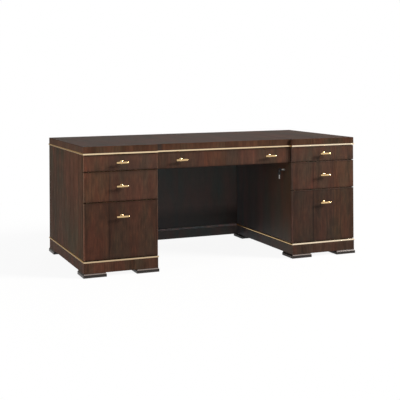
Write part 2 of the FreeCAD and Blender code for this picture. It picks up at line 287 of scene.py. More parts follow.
# %% [markdown]
# A kit for wiring. Every finish below is a procedural material: a small network of nodes that works out a
# colour from the place on the piece. An image could be wrapped round the desk instead, but nodes stay sharp
# at any distance and need no file. Wiring them takes many lines, so a small class gives the usual steps short
# names: first the sums with numbers and vectors.


# %% Kit for wiring
class Graph:
    """A new material, with short names for wiring its nodes."""

    def __init__(self, name):
        self.material = bpy.data.materials.new(name)
        self.nodes, self.links = node_tree(self.material)
        self.skin = self.nodes.new("ShaderNodeBsdfPrincipled")
        surface = self.nodes.new("ShaderNodeOutputMaterial")
        self.links.new(self.skin.outputs[0], surface.inputs["Surface"])
        self.place = self.nodes.new("ShaderNodeTexCoord")

    def feed(self, value, socket):
        """Wires an output to a socket, or sets the socket to a plain value."""
        if isinstance(value, bpy.types.NodeSocket):
            self.links.new(value, socket)
        else:
            socket.default_value = value

    def math(self, operation, *values):
        """One math node."""
        node = self.nodes.new("ShaderNodeMath")
        node.operation = operation
        for value, socket in zip(values, node.inputs):
            self.feed(value, socket)
        return node.outputs[0]

    def split(self, vector):
        """The three parts of a vector."""
        node = self.nodes.new("ShaderNodeSeparateXYZ")
        self.links.new(vector, node.inputs[0])
        return node.outputs

    def join(self, x, y, z):
        """A vector from three parts."""
        node = self.nodes.new("ShaderNodeCombineXYZ")
        for value, socket in zip((x, y, z), node.inputs):
            self.feed(value, socket)
        return node.outputs[0]


print("kit for wiring:", ", ".join(name for name in vars(Graph) if not name.startswith("_")))

# %% [markdown]
# A kit for finishes. Wood, metal and lacquer are never one even colour: noise makes them vary, a ramp turns
# noise into tones, and tones lie over each other. Colours could be painted on the mesh, but that needs a
# vertex for every fibre, so these steps are nodes too, and a second class adds them to the first.


# %% Kit for finishes
class Finish(Graph):
    """Adds noise, colours and bumps to the wiring."""

    def noise(self, vector, scale, detail=3.0, roughness=0.5):
        """Smooth noise, from 0 to 1."""
        node = self.nodes.new("ShaderNodeTexNoise")
        self.links.new(vector, node.inputs["Vector"])
        node.inputs["Scale"].default_value = scale
        node.inputs["Detail"].default_value = detail
        node.inputs["Roughness"].default_value = roughness
        return node.outputs["Fac"]

    def chance(self, first, second):
        """A fixed random value for each pair of numbers."""
        node = self.nodes.new("ShaderNodeTexWhiteNoise")
        node.noise_dimensions = "2D"
        self.links.new(self.join(first, second, 0.0), node.inputs["Vector"])
        return node.outputs["Value"]

    def ramp(self, value, *stops, stepped=False):
        """A colour ramp through (position, colour) stops."""
        node = self.nodes.new("ShaderNodeValToRGB")
        self.links.new(value, node.inputs[0])
        band = node.color_ramp
        band.interpolation = "CONSTANT" if stepped else "LINEAR"
        for number, (position, colour) in enumerate(stops):
            stop = band.elements[number] if number < 2 else band.elements.new(position)
            stop.position = position
            stop.color = colour
        return node.outputs["Color"]

    def mix(self, kind, share, first, second):
        """Two colours mixed in one of Blender's ways."""
        node = self.nodes.new("ShaderNodeMix")
        node.data_type = "RGBA"
        node.blend_type = kind
        self.feed(share, node.inputs["Factor"])
        self.feed(first, node.inputs["A"])
        self.feed(second, node.inputs["B"])
        return node.outputs["Result"]

    def times(self, first, second, amount=1.0):
        """Darkens or lightens a colour by another."""
        return self.mix("MULTIPLY", amount, first, second)

    def blend(self, share, first, second):
        """The first colour where the share is 0, the second where it is 1."""
        return self.mix("MIX", share, first, second)

    def bump(self, height, strength, distance):
        """Raises the surface by a height."""
        node = self.nodes.new("ShaderNodeBump")
        node.inputs["Strength"].default_value = strength
        node.inputs["Distance"].default_value = distance
        self.links.new(height, node.inputs["Height"])
        self.links.new(node.outputs[0], self.skin.inputs["Normal"])


print("kit for finishes:", ", ".join(name for name in vars(Finish) if not name.startswith("_")))

# %% [markdown]
# Leaves of veneer. Fronts and sides are covered with thin leaves, grain upright. Every face could be
# unwrapped by itself, but the object's own coordinates do as well: the surface's normal tells which way a
# face lies, so that the grain runs up the fronts and sides and from front to back on top.

# %% Leaves of veneer
leaf_width = 0.152
# A surface faces along an axis where its normal's part on that axis is larger than this
facing = 0.7


def across_and_along(g, x, y, z, shift):
    """How far a point lies across the grain of its veneer, and how far along it."""
    normal = g.split(g.place.outputs["Normal"])
    faces_side = g.math("GREATER_THAN", g.math("ABSOLUTE", normal["X"]), facing)
    faces_up = g.math("GREATER_THAN", g.math("ABSOLUTE", normal["Z"]), facing)
    across = g.math("ADD", g.math("MULTIPLY_ADD", faces_side, g.math("SUBTRACT", y, x), x), shift)
    along = g.math("MULTIPLY_ADD", faces_up, g.math("SUBTRACT", y, z), z)
    return across, along


print("veneer in leaves", leaf_width, "m wide")

# %% [markdown]
# The figure of walnut. Cut walnut varies at many scales at once: broad patches of red and grey brown, dark
# streaks, a soft mottle, bright flames and fine fibres. One noise texture can't show all of that, so six
# layers of noise are laid over each other, each drawn out along the grain by its own amount. Each leaf is
# mirrored on its neighbour (book matched).

# %% Figure of walnut
flitch_spread = 3.0
sway_across = 6.0
sway_along = 2.0
sway_reach = 0.045
# Each layer: what it adds to the seed, its scale along the grain against across, scale, detail and roughness
figure_layers = {
    "patches": (4.0, 0.30, 9.0, 2.0, 0.5),
    "broad": (0.0, 0.08, 20.0, 2.0, 0.5),
    "streaks": (0.0, 0.05, 85.0, 4.0, 0.62),
    "mottle": (9.0, 0.40, 30.0, 3.0, 0.5),
    "flames": (7.0, 0.16, 95.0, 2.0, 0.5),
    "fibres": (0.0, 0.03, 800.0, 2.0, 0.5),
}


def walnut_figure(g, across, mirrored, along, seed):
    """The noise of each layer; the two leaves of a pair come from one flitch."""
    pair = g.math("FLOOR", g.math("DIVIDE", across, 2 * leaf_width))
    flitch = g.math("MULTIPLY", g.chance(pair, seed), flitch_spread)
    # Slow waves make the streaks wander, as growth rings do
    wave_x = g.math("MULTIPLY", mirrored, sway_across)
    wave_y = g.math("MULTIPLY", along, sway_along)
    sway = g.noise(g.join(wave_x, wave_y, g.math("ADD", flitch, seed)), scale=1.0, detail=2.0)
    ring = g.math("ADD", g.math("MULTIPLY_ADD", sway, sway_reach, mirrored), flitch)
    layers = {}
    for layer, (own_seed, drawn_out, scale, detail, roughness) in figure_layers.items():
        grain = g.join(ring, g.math("MULTIPLY", along, drawn_out), seed + own_seed)
        layers[layer] = g.noise(grain, scale, detail, roughness)
    return layers


print("walnut figure of", len(figure_layers), "layers:", ", ".join(figure_layers))

# %% [markdown]
# Tones of walnut. The first layer gives the wood's colour, from grey brown to red brown, and the others
# darken or lighten it. One ramp could serve them all, but fibres are darker than mottle, so each has its own.
# Leaves differ a little too, and on the drawer fronts some took the stain more strongly than others.

# %% Tones of walnut
fibre_share = 0.6
wood_tones = [(0.34, srgb(76, 60, 47)), (0.50, srgb(84, 58, 45)), (0.64, srgb(92, 58, 45))]
layer_tones = {
    "broad": [(0.30, grey(0.70)), (0.48, grey(1.0)), (0.70, grey(1.08))],
    "streaks": [(0.32, grey(0.82)), (0.52, grey(1.0)), (0.70, grey(1.05))],
    "mottle": [(0.30, grey(0.84)), (0.70, grey(1.12))],
    "flames": [(0.34, grey(0.86)), (0.52, grey(1.0)), (0.68, (1.28, 1.18, 1.08, 1.0))],
    "fibres": [(0.30, grey(0.70)), (0.45, grey(1.0))],
}
leaf_tones = [(0.0, grey(0.86)), (1.0, (1.08, 1.04, 1.02, 1.0))]
# The stains that a leaf of a drawer front can take
leaf_stains = {
    "plain": (0.96, 0.96, 0.93, 1.0), "red": (1.06, 0.99, 0.93, 1.0),
    "dark": (0.84, 0.92, 0.98, 1.0), "light": (1.32, 1.24, 1.05, 1.0),
}


def walnut_tones(g, layers, figure):
    """The wood's colour before it is stained; figure is how strongly its layers show."""
    colour = g.ramp(layers["patches"], *wood_tones)
    for layer, stops in layer_tones.items():
        share = fibre_share if layer == "fibres" else figure
        colour = g.times(colour, g.ramp(layers[layer], *stops), share)
    return colour


print(len(layer_tones), "layers over the wood's colour,", len(leaf_stains), "stains for leaves")

# %% [markdown]
# Walnut veneer. Now the leaves, their figure and its tones come together under a satin lacquer. Each veneer
# of the desk could be wired by hand, but one function makes them all, so that they look like one wood, and
# its values set the stain, the gloss and the figure.

# %% Walnut veneer
seam_width = 0.007
streak_in_gloss = 0.12
fibre_bump = 0.12
fibre_depth = 0.0004
# How fast the painted shade along a front's lower and upper edge, by the gaps between drawers, fades, per
# metre
gap_shade_rate_below = 40.0
gap_shade_rate_above = 55.0
gap_shade_tones = [(0.0, grey(0.62)), (0.5, grey(0.9)), (1.0, grey(1.0))]


def walnut(
    name, seed, tone, gloss=0.10, rough=0.38, shift=0.0, seam=0.7, figure=1.0,
    gap_shade_span=None, leaves=None, fades=(),
):
    """Book-matched walnut veneer: leaves, streaks, flames, fibres and a satin lacquer.

    Between the two levels given for the gaps, the colour is darker near the upper and the lower edge: painted
    shade by the gaps between drawers.
    leaves is the left edge of a front and the stain that each of its leaves took, from left to right.
    Each of fades is how the colour changes along an axis (0, 1 or 2), where shade, sheen or reflection is
    painted: the axis, where the change starts and ends, and ramp stops from the start, at 0, to the end, at
    1.
    """
    g = Finish(name)
    x, y, z = g.split(g.place.outputs["Object"])
    across, along = across_and_along(g, x, y, z, shift)
    leaf = g.math("FLOOR", g.math("DIVIDE", across, leaf_width))
    mirrored = g.math("PINGPONG", across, leaf_width)
    layers = walnut_figure(g, across, mirrored, along, seed)
    colour = walnut_tones(g, layers, figure)
    colour = g.times(colour, g.ramp(g.chance(leaf, seed + 0.5), *leaf_tones), figure)
    stain = tuple(tone) + (1.0,)
    seam_stain = tuple(seam * part for part in tone) + (1.0,)
    colour = g.times(colour, g.ramp(mirrored, (0.0, seam_stain), (seam_width, stain)))
    if leaves:
        start, names = leaves
        position = g.math("DIVIDE", g.math("SUBTRACT", x, start), leaf_width * len(names))
        stops = [(number / len(names), leaf_stains[took]) for number, took in enumerate(names)]
        colour = g.times(colour, g.ramp(position, *stops, stepped=True))
    for axis, start, end, stops in fades:
        travel = g.math("DIVIDE", g.math("SUBTRACT", (x, y, z)[axis], start), end - start)
        colour = g.times(colour, g.ramp(travel, *stops))
    # Painted shade along a front's upper and lower edge, by the gaps between drawers
    if gap_shade_span:
        low, high = gap_shade_span
        from_below = g.math("MULTIPLY", g.math("SUBTRACT", z, low), gap_shade_rate_below)
        from_above = g.math("MULTIPLY", g.math("SUBTRACT", high, z), gap_shade_rate_above)
        colour = g.times(colour, g.ramp(g.math("MINIMUM", from_below, from_above), *gap_shade_tones))
    g.links.new(colour, g.skin.inputs["Base Color"])
    satin = g.math("MULTIPLY_ADD", layers["streaks"], streak_in_gloss, rough - streak_in_gloss / 2)
    g.links.new(satin, g.skin.inputs["Roughness"])
    g.skin.inputs["Specular IOR Level"].default_value = gloss
    g.bump(layers["fibres"], fibre_bump, fibre_depth)
    return g.material


print("veneer under lacquer, seams fading over", seam_width, "m")

# %% [markdown]
# Finishes for faces. A board has one veneer on its face and often another on its edge. It could be cut into
# separate objects for that, but the CAD nodes have to stay whole. So a node has a slot for each finish, and
# the direction in which a face looks decides which one it takes.

# %% Finishes for faces
# Limits for the parts of a face's normal: below the first it slopes, above the second it looks that way
bevel_limit = 0.9
turned_to = 0.5


def dress(material, *names):
    """Gives nodes one finish all over."""
    for name in names:
        data = nodes[name].data
        data.materials.clear()
        data.materials.append(material)
        data.polygons.foreach_set("material_index", [0] * len(data.polygons))


def dress_faces(material, name, chosen):
    """Gives a further finish to the faces of a node whose normal is chosen."""
    data = nodes[name].data
    data.materials.append(material)
    for face in data.polygons:
        if chosen(face.normal):
            face.material_index = len(data.materials) - 1


def is_bevel(normal):
    """True for a sloping face, one that is square to no axis."""
    return max(abs(part) for part in normal) < bevel_limit


print("a face is a bevel where no part of its normal reaches", bevel_limit)

# %% [markdown]
# The drawer fronts. The three fronts of a pedestal are cut from the same leaves, so they share a seed and the
# figure runs on from drawer to drawer, while each took the stain a little differently. Their edges are
# bevelled. The bevels could be left in the front's own veneer, but they catch the light or lie in the shade,
# so light and shade are painted on them: a painted highlight on the left pedestal's ends and upright bevels,
# painted shade on the other bevels at the left and in the centre, and a softer painted light at the right.
# Each front also gets painted shade along its upper and lower edge, by the gaps between the drawers.

# %% Drawer fronts
edge_veneer = {"seed": 5.0, "gloss": 0.02, "rough": 0.60}
# Each front: seed of its figure, stain, shift of its leaves, darkness of the seam between a pair, leaves
front_veneer = {
    "left_top": (3.0, (0.94, 0.91, 0.96), leaf_width, 0.75, ("red", "dark", "dark")),
    "left_middle": (3.0, (0.86, 0.84, 0.83), leaf_width, 0.70, ("red", "dark", "dark")),
    "left_file": (3.0, (0.54, 0.55, 0.57), leaf_width, 0.50, ("red", "plain", "plain")),
    "centre": (17.0, (0.84, 0.83, 0.84), 0.0, 0.75, ("dark", "dark", "red", "dark", "dark", "plain")),
    "right_top": (11.0, (0.83, 0.86, 0.95), 0.0, 0.75, ("plain", "plain", "red")),
    "right_middle": (11.0, (0.75, 0.72, 0.78), 0.0, 0.45, ("plain", "plain", "light")),
    "right_file": (11.0, (0.45, 0.51, 0.57), 0.0, 0.45, ("plain", "plain", "light")),
}
drawers = list(front_veneer)


def is_edge(normal):
    """True for a front's bevels and its left end, which the photograph shows."""
    return normal.x < -turned_to or is_bevel(normal)


def is_highlit_edge(normal):
    """True for a front's left end and for the bevels at its left and right, which get a painted highlight on
    the left pedestal.
    """
    return normal.x < -turned_to or is_bevel(normal) and normal.x > turned_to


# Painted light on the edges: a painted highlight, painted shade, and a softer painted light between the two
highlit_edge = walnut("walnut_eased_edge", tone=(1.5, 1.7, 1.8), **edge_veneer)
shadow_edge = walnut("walnut_shadow_edge", tone=(0.58, 0.58, 0.60), **edge_veneer)
softly_lit_edge = walnut("walnut_soft_edge", tone=(1.0, 1.35, 1.75), **edge_veneer)
for drawer, (seed, stain, shift, seam, leaves) in front_veneer.items():
    front = drawer + "_front"
    low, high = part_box(front)
    veneer = walnut(
        "walnut_" + drawer, seed, stain, shift=shift, seam=seam,
        gap_shade_span=(low.z, high.z), leaves=(low.x, leaves),
    )
    dress(veneer, front)
    dress_faces(softly_lit_edge if drawer.startswith("right") else shadow_edge, front, is_edge)
    if drawer.startswith("left"):
        dress_faces(highlit_edge, front, is_highlit_edge)
print("veneer on", len(drawers), "drawer fronts")

# %% [markdown]
# The top. Its writing surface is laid with the same leaves, stained far darker than its thick edge: partly a
# darker walnut, partly painted shade against the stronger light on a surface that faces up. Towards its right
# end the top is painted lighter, a painted sheen. The front edge steps back between the pedestals, and beside
# each step a painted shade darkens it. A painted mask could darken those places, but a ramp along the desk,
# tied to the steps, follows them when the frame changes.

# %% Top
top_left, top_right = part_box("desk_top")[0].x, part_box("desk_top")[1].x
step_left, step_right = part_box("centre_front")[0].x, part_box("centre_front")[1].x
step_margin = 0.004
# Painted shade beside the left step, and a painted shadow of the right pedestal beside the right step
step_corner_shade = (0.50, 0.76, 1.05, 1.0)
slab_veneer = {"seed": 33.0, "tone": (0.79, 0.84, 0.84), "gloss": 0.02, "rough": 0.50}
# Painted sheen: the top is lighter towards its right end
top_sheen = (0, top_left, top_right, [(0.6, grey(1.0)), (1.0, (1.22, 1.13, 1.13, 1.0))])
step_shade = (0, step_left - step_margin, step_right + step_margin, [
    (0.0, grey(1.0)), (0.004, step_corner_shade), (0.030, step_corner_shade), (0.050, grey(1.0)), (0.97, grey(1.0)),
    (0.98, grey(0.8)), (1.0, grey(1.0)),
])
# The top's dark stain is partly a darker walnut, partly painted shade against the stronger light from above
walnut_top = walnut("walnut_top", 31.0, (0.40, 0.43, 0.41), gloss=0.02, rough=0.55, fades=[top_sheen])
slab_edge = walnut("walnut_slab_edge", **slab_veneer)
slab_front = walnut("walnut_slab_front", fades=[step_shade], **slab_veneer)
dress(walnut_top, "desk_top")
dress_faces(slab_edge, "desk_top", lambda normal: abs(normal.z) < turned_to)
dress_faces(slab_front, "desk_top", lambda normal: normal.y < -turned_to)
print("veneer on the top, steps at", round(step_left, 3), "and", round(step_right, 3), "m")

# %% [markdown]
# The pedestals. Their outer sides and backs have the upright veneer of the fronts, and their plinths too.
# The outer sides are painted greyer towards the back, a painted reflection. Inside the kneehole the sides and
# the plinths' inner faces are painted as they look in its shade: darker and plainer, with more gloss, and
# greyer towards the modesty panel. Separate veneers for front and back would leave a line between them, so
# one ramp runs along the side.

# %% Pedestals
side_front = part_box("left_outer_side")[0].y
side_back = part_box("left_outer_side")[1].y
# Painted reflection: the outer sides turn greyer towards the back
side_reflection = (1, side_front, side_back, [(0.0, grey(1.0)), (1.0, (0.86, 1.05, 1.25, 1.0))])
walnut_sides = walnut(
    "walnut_sides", 41.0, (0.89, 1.00, 1.00), gloss=0.012, rough=0.60, fades=[side_reflection]
)
walnut_backs = walnut("walnut_backs", 41.0, (0.88, 0.94, 0.96), gloss=0.012, rough=0.60)
# Painted shade of the kneehole: its sides turn greyer and paler towards the modesty panel
# Behind the modesty panel, from 0.96 on, the sides have the stain of the backs
knee_shade_change = (1, side_front, side_back, [
    (0.0, grey(1.1)), (0.35, (1.5, 1.9, 2.6, 1.0)), (0.94, (3.6, 6.8, 12.5, 1.0)),
    (0.96, (1.76, 1.74, 1.85, 1.0)),
])
knee_shade_veneer = walnut(
    "walnut_kneehole", 43.0, (0.50, 0.54, 0.52), gloss=0.12, rough=0.48, seam=1.0, figure=0.3,
    fades=[knee_shade_change],
)
dress(walnut_sides, "left_outer_side", "right_outer_side")
dress(walnut_backs, "left_back", "right_back")
dress(knee_shade_veneer, "left_inner_side", "right_inner_side")
# Each plinth: its stain, and the direction of the kneehole along x
plinths = {"left_plinth": ((0.78, 0.82, 0.88), 1), "right_plinth": ((0.62, 0.74, 0.88), -1)}
for plinth, (stain, inward) in plinths.items():
    dress(walnut("walnut_" + plinth, 47.0, stain, gloss=0.02, rough=0.55), plinth)
    dress_faces(knee_shade_veneer, plinth, lambda normal: normal.x * inward > turned_to)
print("veneer on the sides, backs and", len(plinths), "plinths")

# %% [markdown]
# The modesty panel. It closes the back of the kneehole, with a rail along its foot whose upper edge is
# bevelled. Both are dark veneer with a gloss, painted greyer as they look in the kneehole's shade, and paler
# towards the right; painted shade darkens the panel just above the rail. The bevel shows as a light line. A
# lamp in the kneehole could draw that line, but only from one side, so the line is a painted highlight.

# %% Modesty panel
panel_low, panel_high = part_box("modesty_panel")
rail_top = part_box("modesty_rail")[1].z
bevel_slope = 0.3
across_change = (0, panel_low.x, panel_high.x, [(0.5, grey(1.0)), (1.0, grey(1.9))])
# Painted shade: the panel is darker just above the rail
low_shade_band = (2, rail_top, panel_high.z, [(0.12, grey(0.30)), (0.24, grey(1.0))])
# The panel and rail are painted greyer, as they look in the kneehole's shade
panel_shade_veneer = {
    "seed": 53.0, "tone": (0.85, 1.6, 2.5), "gloss": 0.26, "rough": 0.50, "seam": 1.0, "figure": 0.2,
}
walnut_modesty = walnut("walnut_modesty", fades=[across_change, low_shade_band], **panel_shade_veneer)
walnut_rail = walnut("walnut_rail", fades=[across_change], **panel_shade_veneer)
# Painted highlight: the light line along the rail's bevel
rail_bevel_highlight = walnut("walnut_rail_bevel", 59.0, (6.0, 12.0, 21.0), gloss=0.3, rough=0.5, seam=1.0, figure=0.2)
dress(walnut_modesty, "modesty_panel")
dress_faces(walnut_backs, "modesty_panel", lambda normal: normal.y > turned_to)
dress(walnut_rail, "modesty_rail")
dress_faces(rail_bevel_highlight, "modesty_rail", lambda normal: normal.z > bevel_slope and normal.y < -bevel_slope)
print("veneer on the modesty panel and its rail, bevelled at", round(rail_top, 3), "m")

# %% [markdown]
# Brass. The pulls and the beads are brass. A metal needs little more than its colour and the right gloss, but
# a fine cloudiness in both keeps it from looking like a mirror. One brass for all would be simplest, but
# light
# and shade are painted into the beads: bright at the right, a painted highlight, duller at the left, and
# darker along the desk's sides, a painted reflection of shade. So there are six mixtures of one recipe.

# %% Brass
cloud_scale = 90.0
cloud_detail = 4.0
cloud_shade = 0.9


def shaded(colour, factor):
    """A colour made darker by a factor."""
    return tuple(factor * part for part in colour[:3]) + (1.0,)


def plain_metal(name, colour, roughness, cloud, edge=(1, 1, 1)):
    """A metal whose gloss varies a little; edge is the tint of what it mirrors at a glancing angle."""
    g = Finish(name)
    g.skin.inputs["Specular Tint"].default_value = tuple(edge) + (1.0,)
    clouds = g.noise(g.place.outputs["Object"], cloud_scale, cloud_detail)
    g.links.new(g.math("MULTIPLY_ADD", clouds, cloud, roughness - cloud / 2), g.skin.inputs["Roughness"])
    tint = g.ramp(clouds, (0.3, shaded(colour, cloud_shade)), (0.7, colour))
    g.links.new(tint, g.skin.inputs["Base Color"])
    g.skin.inputs["Metallic"].default_value = 1.0
    return g.material


brass_cloud = 0.03
brass = plain_metal("satin_brass", srgb(212, 180, 132), 0.15, brass_cloud)
pale_brass = plain_metal("pale_brass", srgb(230, 205, 168), 0.09, brass_cloud)
dull_brass = plain_metal("dull_brass", srgb(199, 174, 140), 0.12, brass_cloud)
# Painted highlight: the paler brass of the runs at the right pedestal
highlit_brass = plain_metal("highlit_brass", srgb(244, 224, 194), 0.08, brass_cloud)
# Painted reflection of shade: the darker brass along the desk's sides, with a darker tint at glancing angles
side_shade_brass = plain_metal("side_shade_brass", srgb(170, 136, 86), 0.20, brass_cloud, edge=(0.80, 0.76, 0.68))
knee_brass = plain_metal("knee_brass", srgb(232, 194, 134), 0.34, brass_cloud)
pulls = [drawer + "_pull" for drawer in drawers]
dress(brass, *pulls)
dress(pale_brass, "top_bead", "left_base_bead", "right_base_bead")
print("brass on", len(pulls), "pulls and three beads")

# %% [markdown]
# The feet. They are blocks in black lacquer that flare under the plinth. Where the flare turns outwards a
# paler band is painted, a painted highlight, and low on each face the lacquer is painted paler, a painted
# reflection of the floor; faces that look sideways get only that reflection. A mask from the mesh's curvature
# would find that edge too, but it needs a fine mesh. The feet are all of one height, so a ramp from the floor
# up puts the band where it belongs.

# %% Feet
foot_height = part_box("block_feet")[1].z
side_slope = 0.3
lacquer_roughness = 0.15
black = srgb(36, 30, 27)
bevel_highlight = srgb(126, 114, 108)


def foot_lacquer(name, gloss, *stops):
    """Black lacquer with painted highlight and reflection at some levels: stops run from the floor, at 0, to
    a foot's top, at 1.
    """
    g = Finish(name)
    height = g.split(g.place.outputs["Object"])[2]
    g.links.new(g.ramp(g.math("DIVIDE", height, foot_height), *stops), g.skin.inputs["Base Color"])
    g.skin.inputs["Roughness"].default_value = lacquer_roughness
    g.skin.inputs["Specular IOR Level"].default_value = gloss
    return g.material


# Painted reflection of the floor near the bottom, and a painted highlight on the flare
foot_front = foot_lacquer(
    "black_lacquer", 0.25,
    (0.0, srgb(70, 64, 60)), (0.25, black), (0.68, black), (0.75, bevel_highlight), (0.87, bevel_highlight), (0.95, black),
)
# Sideways faces: only the painted reflection of the floor
foot_side = foot_lacquer(
    "black_lacquer_side", 0.05, (0.0, srgb(80, 74, 70)), (0.55, srgb(58, 52, 48)), (0.66, black)
)
dress(foot_front, "block_feet")
dress_faces(foot_side, "block_feet", lambda normal: abs(normal.x) > side_slope)
print("black lacquer on feet", round(foot_height, 3), "m high")

# %% [markdown]
# The slides. The drawers run on plated steel channels, and hanging files ride on steel rails in the deep
# drawers. Plating is cloudy, so the same metal recipe as for brass serves with more cloud and less gloss. A
# plain grey would do where the slides are hidden, but an open drawer shows them.

# %% Steel slides
steel = plain_metal("slide_steel", srgb(190, 192, 196), roughness=0.34, cloud=0.10)
dress(steel, "case_slide_members", "left_file_middle_slides", "right_file_middle_slides")
dress(steel, "left_file_hanging_rails", "right_file_hanging_rails", *[d + "_runners" for d in drawers])
print("steel on the slides of", len(drawers), "drawers")

# %% [markdown]
# Maple and plywood. The drawers and the hidden boards of the case are made of pale maple, and the drawers'
# bottoms of plywood. Maple's grain runs along a board, and its sawn ends are darker. A board's own
# coordinates could tell its grain, but here several boards share a node, so there is one maple for each
# direction, and the surface's normal tells where it shows end grain.

# %% Maple and plywood
grain_squeeze = 0.06
maple_roughness = 0.42
maple_fibre_scale = 260.0
maple_cloud_scale = 24.0
maple_ring_scale = 420.0
coat_shade = 0.8
coat_in_gloss = 0.08


def maple(name, grain):
    """Clear-lacquered maple with its grain along an axis; faces across that axis show end grain."""
    g = Finish(name)
    place = g.place.outputs["Object"]
    normal = g.split(g.place.outputs["Normal"])[grain]
    parts = list(g.split(place))
    parts[grain] = g.math("MULTIPLY", parts[grain], grain_squeeze)
    drawn_out = g.join(*parts)
    fibres = g.noise(drawn_out, maple_fibre_scale, detail=3.0)
    cloud = g.noise(drawn_out, maple_cloud_scale, detail=2.0)
    rings = g.noise(place, maple_ring_scale, detail=2.0)
    long_grain = g.ramp(fibres, (0.3, srgb(196, 163, 119)), (0.7, srgb(214, 186, 146)))
    end_grain = g.ramp(rings, (0.3, srgb(150, 112, 72)), (0.7, srgb(178, 140, 98)))
    sawn = g.math("GREATER_THAN", g.math("ABSOLUTE", normal), facing)
    board = g.blend(sawn, long_grain, end_grain)
    colour = g.times(board, g.ramp(cloud, (0.3, grey(0.9)), (0.7, grey(1.04))))
    g.links.new(colour, g.skin.inputs["Base Color"])
    g.skin.inputs["Roughness"].default_value = maple_roughness
    g.bump(fibres, strength=0.05, distance=0.0003)
    return g.material


def plain_coat(name, colour, roughness, grain_scale, bump):
    """A painted, lacquered or moulded surface with a fine grain."""
    g = Finish(name)
    grain = g.noise(g.place.outputs["Object"], grain_scale, detail=3.0)
    tint = g.ramp(grain, (0.3, shaded(colour, coat_shade)), (0.7, colour))
    g.links.new(tint, g.skin.inputs["Base Color"])
    g.links.new(g.math("MULTIPLY_ADD", grain, coat_in_gloss, roughness), g.skin.inputs["Roughness"])
    g.bump(grain, bump, distance=0.0004)
    return g.material


along_x = maple("maple_across_the_drawer", 0)
along_y = maple("maple_along_the_drawer", 1)
plywood = plain_coat("drawer_plywood", srgb(202, 174, 134), roughness=0.46, grain_scale=18.0, bump=0.03)
hidden_boards = ("sub_top", "left_bottom", "right_bottom", "divider_rails")
dress(along_x, *hidden_boards)
print("maple on", len(hidden_boards), "nodes of hidden boards")

# %% [markdown]
# Boards of a drawer box. A box is one node, but the grain of its boards runs in different directions. Boards
# could be told apart by where they lie, but dovetails reach into each other. So the faces are sorted by the
# edges that they share, into patches that belong to one board.

# %% Boards of a drawer box
grid_per_metre = 1e5


def patches_of(mesh):
    """Groups a node's faces into patches, each on one board.

    Two faces belong together where they share an edge that no third face touches. The outside of a board
    is one patch, and the faces hidden in a joint make small patches of their own.
    """
    places = [tuple(round(part * grid_per_metre) for part in vertex.co) for vertex in mesh.vertices]
    sharing = {}
    for face in mesh.polygons:
        corners = [places[vertex] for vertex in face.vertices]
        for start, end in zip(corners, corners[1:] + corners[:1]):
            sharing.setdefault(frozenset((start, end)), []).append(face.index)
    leader = list(range(len(mesh.polygons)))

    def first(face):
        while leader[face] != face:
            face = leader[face]
        return face

    for faces in sharing.values():
        if len(faces) == 2:
            leader[first(faces[0])] = first(faces[1])
    patches = {}
    for face in mesh.polygons:
        patches.setdefault(first(face.index), []).append(face.index)
    return list(patches.values())


print("the centre drawer's box has", len(patches_of(nodes["centre_box"].data)), "patches")

# %% [markdown]
# The drawer boxes. Their boards are dovetailed, and at a dovetail the end grain of one board shows beside the
# long grain of the next. Each patch takes the maple whose grain runs along it, or plywood where it is thin
# and flat. One maple for all would be simpler, but the dovetails would hardly show.

# %% Drawer boxes
thin_patch = 0.008
for drawer in drawers:
    box_name = drawer + "_box"
    dress(along_x, box_name)
    mesh = nodes[box_name].data
    mesh.materials.append(along_y)
    mesh.materials.append(plywood)
    for patch in patches_of(mesh):
        corners = [mesh.vertices[v].co for face in patch for v in mesh.polygons[face].vertices]
        spans = [max(c[axis] for c in corners) - min(c[axis] for c in corners) for axis in range(3)]
        width, depth, height = spans
        if height < thin_patch:
            wood = plywood
        else:
            wood = along_y if depth > width else along_x
        for face in patch:
            mesh.polygons[face].material_index = mesh.materials.find(wood.name)
print("maple and plywood on", len(drawers), "drawer boxes")

# %% [markdown]
# The lock and its keys. The blades and the ring are nickel plated, the lock's nickel is darker, and the bows
# are black plastic with a fine moulded grain. Scratches could be drawn on such metal, but the pieces are tiny
# in the picture, so the recipes for metal and for coats serve here too.

# %% Lock and keys
nickel = plain_metal("bright_nickel", srgb(230, 227, 222), roughness=0.44, cloud=0.08)
dull_nickel = plain_metal("dull_nickel", srgb(184, 182, 178), roughness=0.44, cloud=0.08)
bow_plastic = plain_coat("key_plastic", srgb(26, 26, 28), roughness=0.45, grain_scale=900.0, bump=0.2)
dress(nickel, "key_blade", "key_ring", "spare_key_blade")
dress(dull_nickel, "lock_barrel", "lock_plug")
dress(bow_plastic, "key_bow", "spare_key_bow")
print("nickel and plastic on the lock and two keys")

# %% [markdown]
# From a mesh to a piece. The beads and the pulls are polished, round to the touch but crisp where two
# surfaces meet. More facets would make them rounder, but smooth shading does that with few, and edges sharper
# than a set angle stay crisp. Each finished piece then rides on the body that carries it.

# %% From a mesh to a piece
sharp_angle = math.radians(40)


def finished_piece(name, mesh, material, body):
    """Makes an object of a mesh, smooth except at sharp edges, and lets it ride on a body."""
    bmesh.ops.recalc_face_normals(mesh, faces=mesh.faces)
    data = bpy.data.meshes.new(name)
    mesh.to_mesh(data)
    mesh.free()
    data.shade_smooth()
    data.set_sharp_from_angle(angle=sharp_angle)
    data.materials.append(material)
    piece = bpy.data.objects.new(name, data)
    scene.collection.objects.link(piece)
    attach(piece, body)
    return piece


print("edges sharper than", round(math.degrees(sharp_angle)), "degrees stay crisp")

# %% [markdown]
# The beads. A half-round brass strip runs round the desk under the top and round each pedestal above its
# plinth, mitred at the corners. A curve with a bevel would do, but at a sharp corner it pinches, so the strip
# is swept by hand: every point of its section has its own outline, moved out from the wall by its distance.

# %% Brass beads
mm = 0.001
bead_height = 12 * mm
bead_proud = 4 * mm
bead_let_in = 8 * mm
arc_steps = 16
